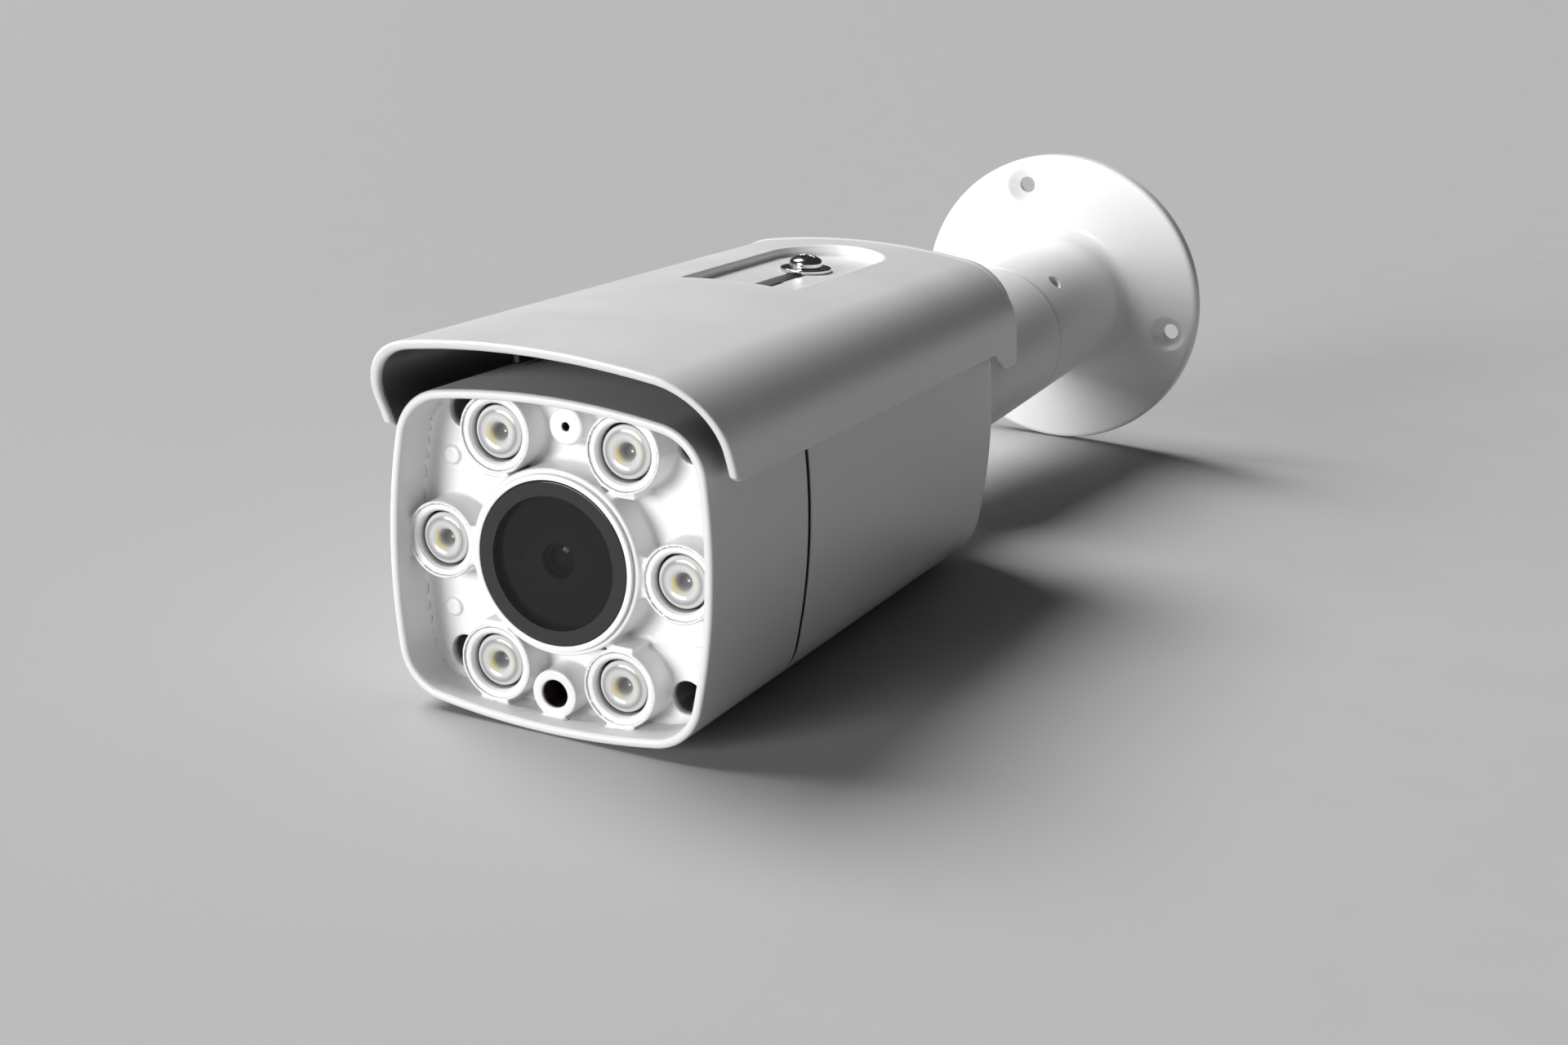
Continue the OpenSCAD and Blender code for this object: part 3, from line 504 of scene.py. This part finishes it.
# Painted shade in the depths: the daylight tube, the microphone's hole and the screw wells darken where shade
# falls
dark = circle(spots[:, 0], spots[:, 2], TUBE, TUBE_BORE + 0.4) < 0
dark = dark * np.clip((spots[:, 1] - 0.4) / 0.5, 0, 1)
dark = np.maximum(dark, (circle(spots[:, 0], spots[:, 2], MIC, 1.3) < 0) * (spots[:, 1] > 2.3))
for well in WELLS:
    inside = circle(spots[:, 0], spots[:, 2], well, WELL_R + 0.15) < 0
    dark = np.maximum(dark, 0.9 * inside * np.clip((spots[:, 1] - 7.6) / 1.5, 0, 1))
mask(bezel, "depth", dark)
ring_path = (
    [(17.62, BARREL_Y), (17.62, RING_Y + 0.25)]
    + arc((17.87, RING_Y + 0.25), 0.25, 180, 270)
    + arc((18.6, RING_Y + 0.3), 0.3, 270, 360)
    + [(18.9, BARREL_Y)]
)
settle(turned("window_ring_skin", ring_path, HEAD, n=128, closed=True), "head", "window_ring")
BORDER_R = 14.4
glass_path = (
    [(0.02, GLASS_Y), (8, GLASS_Y), (BORDER_R - 0.15, GLASS_Y), (BORDER_R, GLASS_Y), (16, GLASS_Y)]
    + arc((17.2, GLASS_Y + 0.25), 0.25, 270, 360)
    + [(17.45, 0), (17.3, 0.2), (0.02, 0.2)]
)
window = settle(turned("window_skin", glass_path, HEAD, n=128), "head", "window_glass")
spots = head_points(window)
mask(window, "border", np.hypot(spots[:, 0], spots[:, 2]) > BORDER_R - 0.05)

# ---- Lamps ----
# Painted brightness of a lamp's front, by distance from its middle: painted highlight rings, a painted dark well
# and painted shade in the gap at the rim
LAMP_PAINTED_BRIGHTNESS = [
    (0.0, 0.2), (1.1, 0.24), (1.7, 0.45), (2.2, 0.66), (3.4, 0.7), (4.0, 0.5), (4.45, 0.32),
    (4.85, 0.62), (5.4, 0.8), (5.6, 0.6), (5.66, 0.03), (6.1, 0.02),
]


def lamp_painted_light(radius, angle):
    """Painted silvery highlight rings round a painted dark well, with the yellow phosphor painted as seen through
    the lens on one side of it.
    """
    tone = np.interp(radius, *zip(*LAMP_PAINTED_BRIGHTNESS))
    # Painted refraction: the yellow phosphor as seen through the lens, strong low on one side and faint high on
    # the other
    side = np.clip(np.cos(angle - math.radians(205)), 0, 1) ** 1.5
    painted_phosphor = np.clip(1 - np.abs(radius - 2.3) / 0.55, 0, 1) * side
    far = np.clip(1 - np.abs(radius - 3.6) / 1.0, 0, 1) * np.clip(np.cos(angle - 0.45), 0, 1) ** 6
    yellow = np.clip(painted_phosphor * 1.1 + far * 0.25, 0, 1)[:, None]
    colour = tone[:, None] * (1 - yellow) + np.array([0.9, 0.77, 0.3]) * yellow
    return np.concatenate([colour, np.ones((len(tone), 1))], 1)


def finer(path, gap):
    """The same path with points no further apart than gap."""
    out = [path[0]]
    for a, b in zip(path, path[1:]):
        n = max(1, math.ceil(math.dist(a, b) / gap))
        out += [(a[0] + (b[0] - a[0]) * i / n, a[1] + (b[1] - a[1]) * i / n) for i in range(1, n + 1)]
    return out


LAMP_FRONT = (
    [(0.02, 4.6), (0.7, 4.45), (1.2, 3.9), (1.55, 3.1), (1.85, 2.4), (2.25, 1.85), (2.8, 1.5), (3.6, 1.3)]
    + [(4.3, 1.35), (4.9, 1.5), (5.35, 1.75), (5.6, 2.1), (5.66, 2.5), (5.68, 3.1), (6.02, 3.15)]
)
LAMP_BACK = [(6.02, 4.2), (5.2, 5.2), (3.5, 8.05), (2.4, 8.05), (2.3, 7.9), (2.3, 6.9), (0.02, 6.8)]
for i, lamp in enumerate(LAMPS, 1):
    optic = turned(f"lamp_optic_{i}", finer(LAMP_FRONT, 0.22) + LAMP_BACK, HEAD, lamp, n=56)
    spots = head_points(optic)
    across, up = spots[:, 0] - lamp[0], spots[:, 2] - lamp[1]
    paint = lamp_painted_light(np.hypot(across, up), np.arctan2(up, across)).astype(np.float32)
    optic.data.attributes.new("paint", "FLOAT_COLOR", "POINT").data.foreach_set("color", paint.ravel())
    settle(optic, "head", f"led_lens_{i}")

# ---- Sunshade ----
SHADE_HALF, SHADE_TOP, SHADE_CORNER, SHADE_SAG = 41.73, 47.25, 15.9, 5.15
CROWN_R = (SHADE_HALF**2 + SHADE_SAG**2) / (2 * SHADE_SAG)
CROWN_C = SHADE_TOP - CROWN_R
CORNER_X = SHADE_HALF - SHADE_CORNER
CORNER_Z = CROWN_C + math.sqrt((CROWN_R - SHADE_CORNER) ** 2 - CORNER_X**2)
BLEND = math.atan2(CORNER_Z - CROWN_C, CORNER_X)
SHADE_WALL = 2.0


def rake(z):
    return -4.6 - 0.55 * (z - 30)


SHADE_SIDE = [
    (rake(26.5) + 3.4, 23), (rake(26.5) + 1.2, 24.1), (rake(26.5), 26.5), (rake(60), 60), (149, 60),
    (155, 44.3), (155, 37), (159, 25.5), (160, 19), (159, 18), (152, 18), (144, 23),
]
RECESS_HALF, RECESS_FRONT, RECESS_ROUND, RECESS_Z = 14.5, 78.0, 127.5, 44.3
SLOT_FRONT, SLOT_REAR, SLOT_R = 80.2, 120.8, 2.4
REAR_WALL_Y, SHADE_REAR_Y = 152.5, 155.0
RAIL_X, RAIL_FRONT, RAIL_REAR = 24.0, 22.0, 144.0


def shade_section(x, z):
    x = np.abs(x)
    angle = np.arctan2(z - CORNER_Z, x - CORNER_X)
    side = x - SHADE_HALF
    corner = np.hypot(x - CORNER_X, z - CORNER_Z) - SHADE_CORNER
    crown = np.hypot(x, z - CROWN_C) - CROWN_R
    outer = np.where(z < CORNER_Z, side, np.where(angle > BLEND, crown, corner))
    return np.where((x < CORNER_X) & (z < CORNER_Z), np.maximum(side, crown), outer)


def shade_field(x, y, z):
    skin = shade_section(x, z)
    side = polygon(y, z, SHADE_SIDE)
    body = meet(meet(skin, -(skin + SHADE_WALL), 0.4), side, 0.75)
    rear = meet(meet(skin, side, 1.2), between(y, REAR_WALL_Y, SHADE_REAR_Y), 0.5)
    housing = HOUSING.distance(x, z + DROP)
    rear = cut(cut(rear, housing - 1.2, 0.3), z - 37, 0.3)
    body = join(body, rear, 1.0)
    round_end = np.hypot(x, y - RECESS_ROUND) - RECESS_HALF
    plan = np.where(y > RECESS_ROUND, round_end, np.abs(x) - RECESS_HALF)
    plan = meet(plan, RECESS_FRONT - y, 1.2)
    floor = meet(plan - SHADE_WALL, between(z, RECESS_Z - SHADE_WALL, RECESS_Z + 4), 0.4)
    body = join(body, meet(floor, skin + 0.4, 0.3), 0.6)
    rails = meet(np.abs(np.abs(x) - RAIL_X) - 1, between(y, RAIL_FRONT, RAIL_REAR), 0.4)
    rails = meet(cut(rails, housing - 0.5, 0.3), skin + 1, 0.2)
    body = join(body, rails, 0.6)
    body = cut(body, meet(plan, RECESS_Z - z, 1.0), 0.7)
    slot = np.hypot(x, y - np.clip(y, SLOT_FRONT + SLOT_R, SLOT_REAR - SLOT_R)) - SLOT_R
    return cut(body, slot, 0.3)


SHADE_STEP = 0.62
shade = carve("sunshade_skin", shade_field, (-42.4, -17, 17), (42.4, 161, 48), SHADE_STEP, HEAD)
settle(shade, "shade", "sunshade")
spots = head_points(shade)
depth = -shade_section(spots[:, 0], spots[:, 2])
# Painted shade on the sunshade's inner faces; it stops at the recess, at the inside of the rear wall and behind
# the rounded lip
near = 0.8
recess = spots[:, 2] > RECESS_Z - 1.6
recess &= np.abs(spots[:, 0]) < RECESS_HALF + near
recess &= spots[:, 1] > RECESS_FRONT - near
behind_lip = np.clip((spots[:, 1] - rake(spots[:, 2]) - 1.0) / 0.6, 0, 1)
inner = np.clip((depth - 1.55) / 0.35, 0, 1) * ~recess * (spots[:, 1] < REAR_WALL_Y + 0.1) * behind_lip
mask(shade, "painted_underside_shade", inner)
for node in ("lens_shroud", "window_seal"):
    frame["nodes"][node].data.materials[0] = FINISH["shroud_grey"]

# ---- Shade screw and washer ----
SCREW_Y = 116.0
UPRIGHT = HEAD @ Matrix.Translation((0, SCREW_Y, RECESS_Z + 0.05)) @ Matrix.Rotation(math.pi / 2, 4, "X")
washer_path = (
    [(2.0, 0)] + arc((6.1, 0.25), 0.25, -90, 0) + arc((6.1, 0.75), 0.25, 0, 90) + [(2.2, 1), (2.0, 0.8)]
)
settle(turned("shade_washer_skin", washer_path, UPRIGHT, n=96, closed=True), "head", "shade_washer")


def screw_field(x, y, z):
    rho = np.hypot(x, z)
    dome = np.hypot(rho, y + 2.35) - 6.5
    head = meet(meet(rho - 4.08, dome, 0.5), 1.06 - y, 0.12)
    cross = np.minimum(rect(x, z, (0, 0), (2.3, 0.42), 0.1), rect(x, z, (0, 0), (0.42, 2.3), 0.1))
    taper = 2.6 - np.clip(y - 2.0, 0, 3) * -0.4
    head = cut(head, meet(meet(cross, 2.3 - y, 0.1), rho - taper, 0.2), 0.15)
    shank = meet(rho - 1.93, between(y, -8, 2), 0.2)
    return np.minimum(head, shank)


screw = carve("shade_screw_skin", screw_field, (-4.4, -8.4, -4.4), (4.4, 4.5, 4.4), 0.22, UPRIGHT)
settle(screw, "shade_lock", "shade_screw")

# ---- Bracket ----
ARM_R, JOINT_Y, PLATE_Y, WALL_Y, PLATE_R = 21.78, 72.5, 123.0, 127.97, 47.27
HOLE_RING, HOLE_ANGLE = 38.75, 110
HOLES = [
    (HOLE_RING * math.cos(math.radians(HOLE_ANGLE + 120 * i)),
     HOLE_RING * math.sin(math.radians(HOLE_ANGLE + 120 * i)))
    for i in range(3)
]
GRUB_Y, GRUB_ANGLE = PLATE_Y - 38.8, math.radians(49)


def plate_field(x, y, z):
    rho = np.hypot(x, z)
    plate = meet(rho - PLATE_R, between(y, PLATE_Y, WALL_Y), 1.4)
    stub = meet(rho - ARM_R, between(y, JOINT_Y, WALL_Y - 1), 1.2)
    solid = join(plate, stub, 4.0)
    solid = cut(solid, meet(rho - 14.05, JOINT_Y - 1 - y, 0.2), 0.3)
    solid = cut(solid, meet(rho - 17, 88.9 - y, 0.2), 0.3)
    for hole in HOLES:
        ring = circle(x, z, hole, 0)
        sink = np.clip(PLATE_Y + 3 - y, 0, 4)
        solid = cut(solid, ring - 2.5 - sink, 0.25)
    across = -x * math.sin(GRUB_ANGLE) + z * math.cos(GRUB_ANGLE)
    out = x * math.cos(GRUB_ANGLE) + z * math.sin(GRUB_ANGLE)
    grub = meet(np.hypot(across, y - GRUB_Y) - 2.0, -out, 0.1)
    return cut(solid, grub, 0.35)


BIG_STEP = 0.7
plate = carve("wall_plate_skin", plate_field, (-48, 72, -48), (48, 128.5, 48), BIG_STEP, BRACKET)
settle(plate, "wall_bracket", "wall_plate")
PIN_COS, PIN_SIN = PIN_AXIS.x, -PIN_AXIS.z
EAR_X, EAR_OUT = 6.3, 13.3
TONGUE_R, PIN_BORE = 9.6, 4.05


def arm_field(x, y, z):
    rho = np.hypot(x, z)
    pin_x, pin_z = x * PIN_COS - z * PIN_SIN, x * PIN_SIN + z * PIN_COS
    neck = (rho - 13 - (y - 6) * 0.523) * 0.886
    solid = meet(meet(rho - ARM_R, neck, 3), between(y, 6, JOINT_Y - 0.1), 1.2)
    from_pin = np.hypot(pin_z, y)
    solid = cut(solid, from_pin - 12, 0.5)
    tongue = np.minimum(from_pin - TONGUE_R, rect(y, pin_z, (7, 0), (7, TONGUE_R), 0.2))
    tongue = meet(tongue, np.abs(pin_x) - 6, 0.5)
    solid = join(solid, tongue, 0.8)
    solid = np.minimum(solid, meet(rho - 13.98, between(y, 70, 91.5), 0.4))
    solid = cut(solid, meet(rho - 10, 34 - y, 0.3), 0.3)
    return cut(solid, from_pin - PIN_BORE, 0.2)


arm = carve("arm_skin", arm_field, (-22.5, -10.5, -22.5), (22.5, 92, 22.5), BIG_STEP, BRACKET)
settle(arm, "arm", "arm_tube")


def yoke_field(x, y, z):
    rho = np.hypot(x, z)
    base = meet(rho - 17, between(y, -15.7, -10.7), 0.9)
    side = np.abs(np.abs(x) - (EAR_X + EAR_OUT) / 2) - (EAR_OUT - EAR_X) / 2
    ear = np.minimum(np.hypot(y, z) - 10, rect(y, z, (-7.3, 0), (7.4, 10), 0.2))
    solid = join(base, meet(ear, side, 0.6), 0.8)
    solid = np.minimum(solid, meet(rho - 10.95, between(y, -29.5, -15), 0.3))
    solid = cut(solid, np.hypot(y, z) - PIN_BORE, 0.2)
    return cut(solid, meet(rho - 6, y + 10.2, 0.2), 0.2)


yoke = carve("yoke_skin", yoke_field, (-17.6, -30, -17.6), (17.6, 10.6, 17.6), BIG_STEP, YOKE)
settle(yoke, "yoke", "yoke")

# ---- Studio ----
LOOK = Vector((-0.40934, 0.86682, -0.28473)).normalized()
UP = Vector((-0.15337, 0.24226, 0.95801)).normalized()
SIDE = LOOK.cross(UP).normalized()
camera_data = bpy.data.cameras.new("camera")
camera_data.lens = 46.67
camera = bpy.data.objects.new("camera", camera_data)
bpy.context.scene.collection.objects.link(camera)
facing = Matrix((SIDE, SIDE.cross(LOOK), -LOOK)).transposed().to_4x4()
camera.matrix_world = Matrix.Translation(HEAD @ Vector((211.40, -339.14, 128.05))) @ facing
bpy.context.scene.camera = camera

floor_z = CAD_BOX[0].z - 0.0002
corners = [(-9, -3, floor_z), (9, -3, floor_z), (9, 14, floor_z), (-9, 14, floor_z)]
floor = new_piece("backdrop", corners, [(0, 1, 2, 3)], Matrix.Identity(4))
floor.data.materials.append(material("backdrop", (0.45, 0.442, 0.45), 0.85, drift=0.02))


def soft_sun(name, toward, strength, spread):
    """A broad even light that comes from the given direction."""
    data = bpy.data.lights.new(name, "SUN")
    data.energy, data.angle = strength, spread
    light = bpy.data.objects.new(name, data)
    light.rotation_euler = Vector(toward).to_track_quat("Z", "Y").to_euler()
    bpy.context.scene.collection.objects.link(light)


soft_sun("key", (-0.58, 0.03, 0.81), 3.45, 0.65)
soft_sun("front", (-0.35, -0.93, 0.1), 3.7, 0.5)
world = bpy.data.worlds.new("studio")
world.use_nodes = True
world.node_tree.nodes["Background"].inputs["Color"].default_value = (1, 1, 1, 1)
world.node_tree.nodes["Background"].inputs["Strength"].default_value = 0.04
bpy.context.scene.world = world
bpy.context.scene.view_settings.view_transform = "Standard"
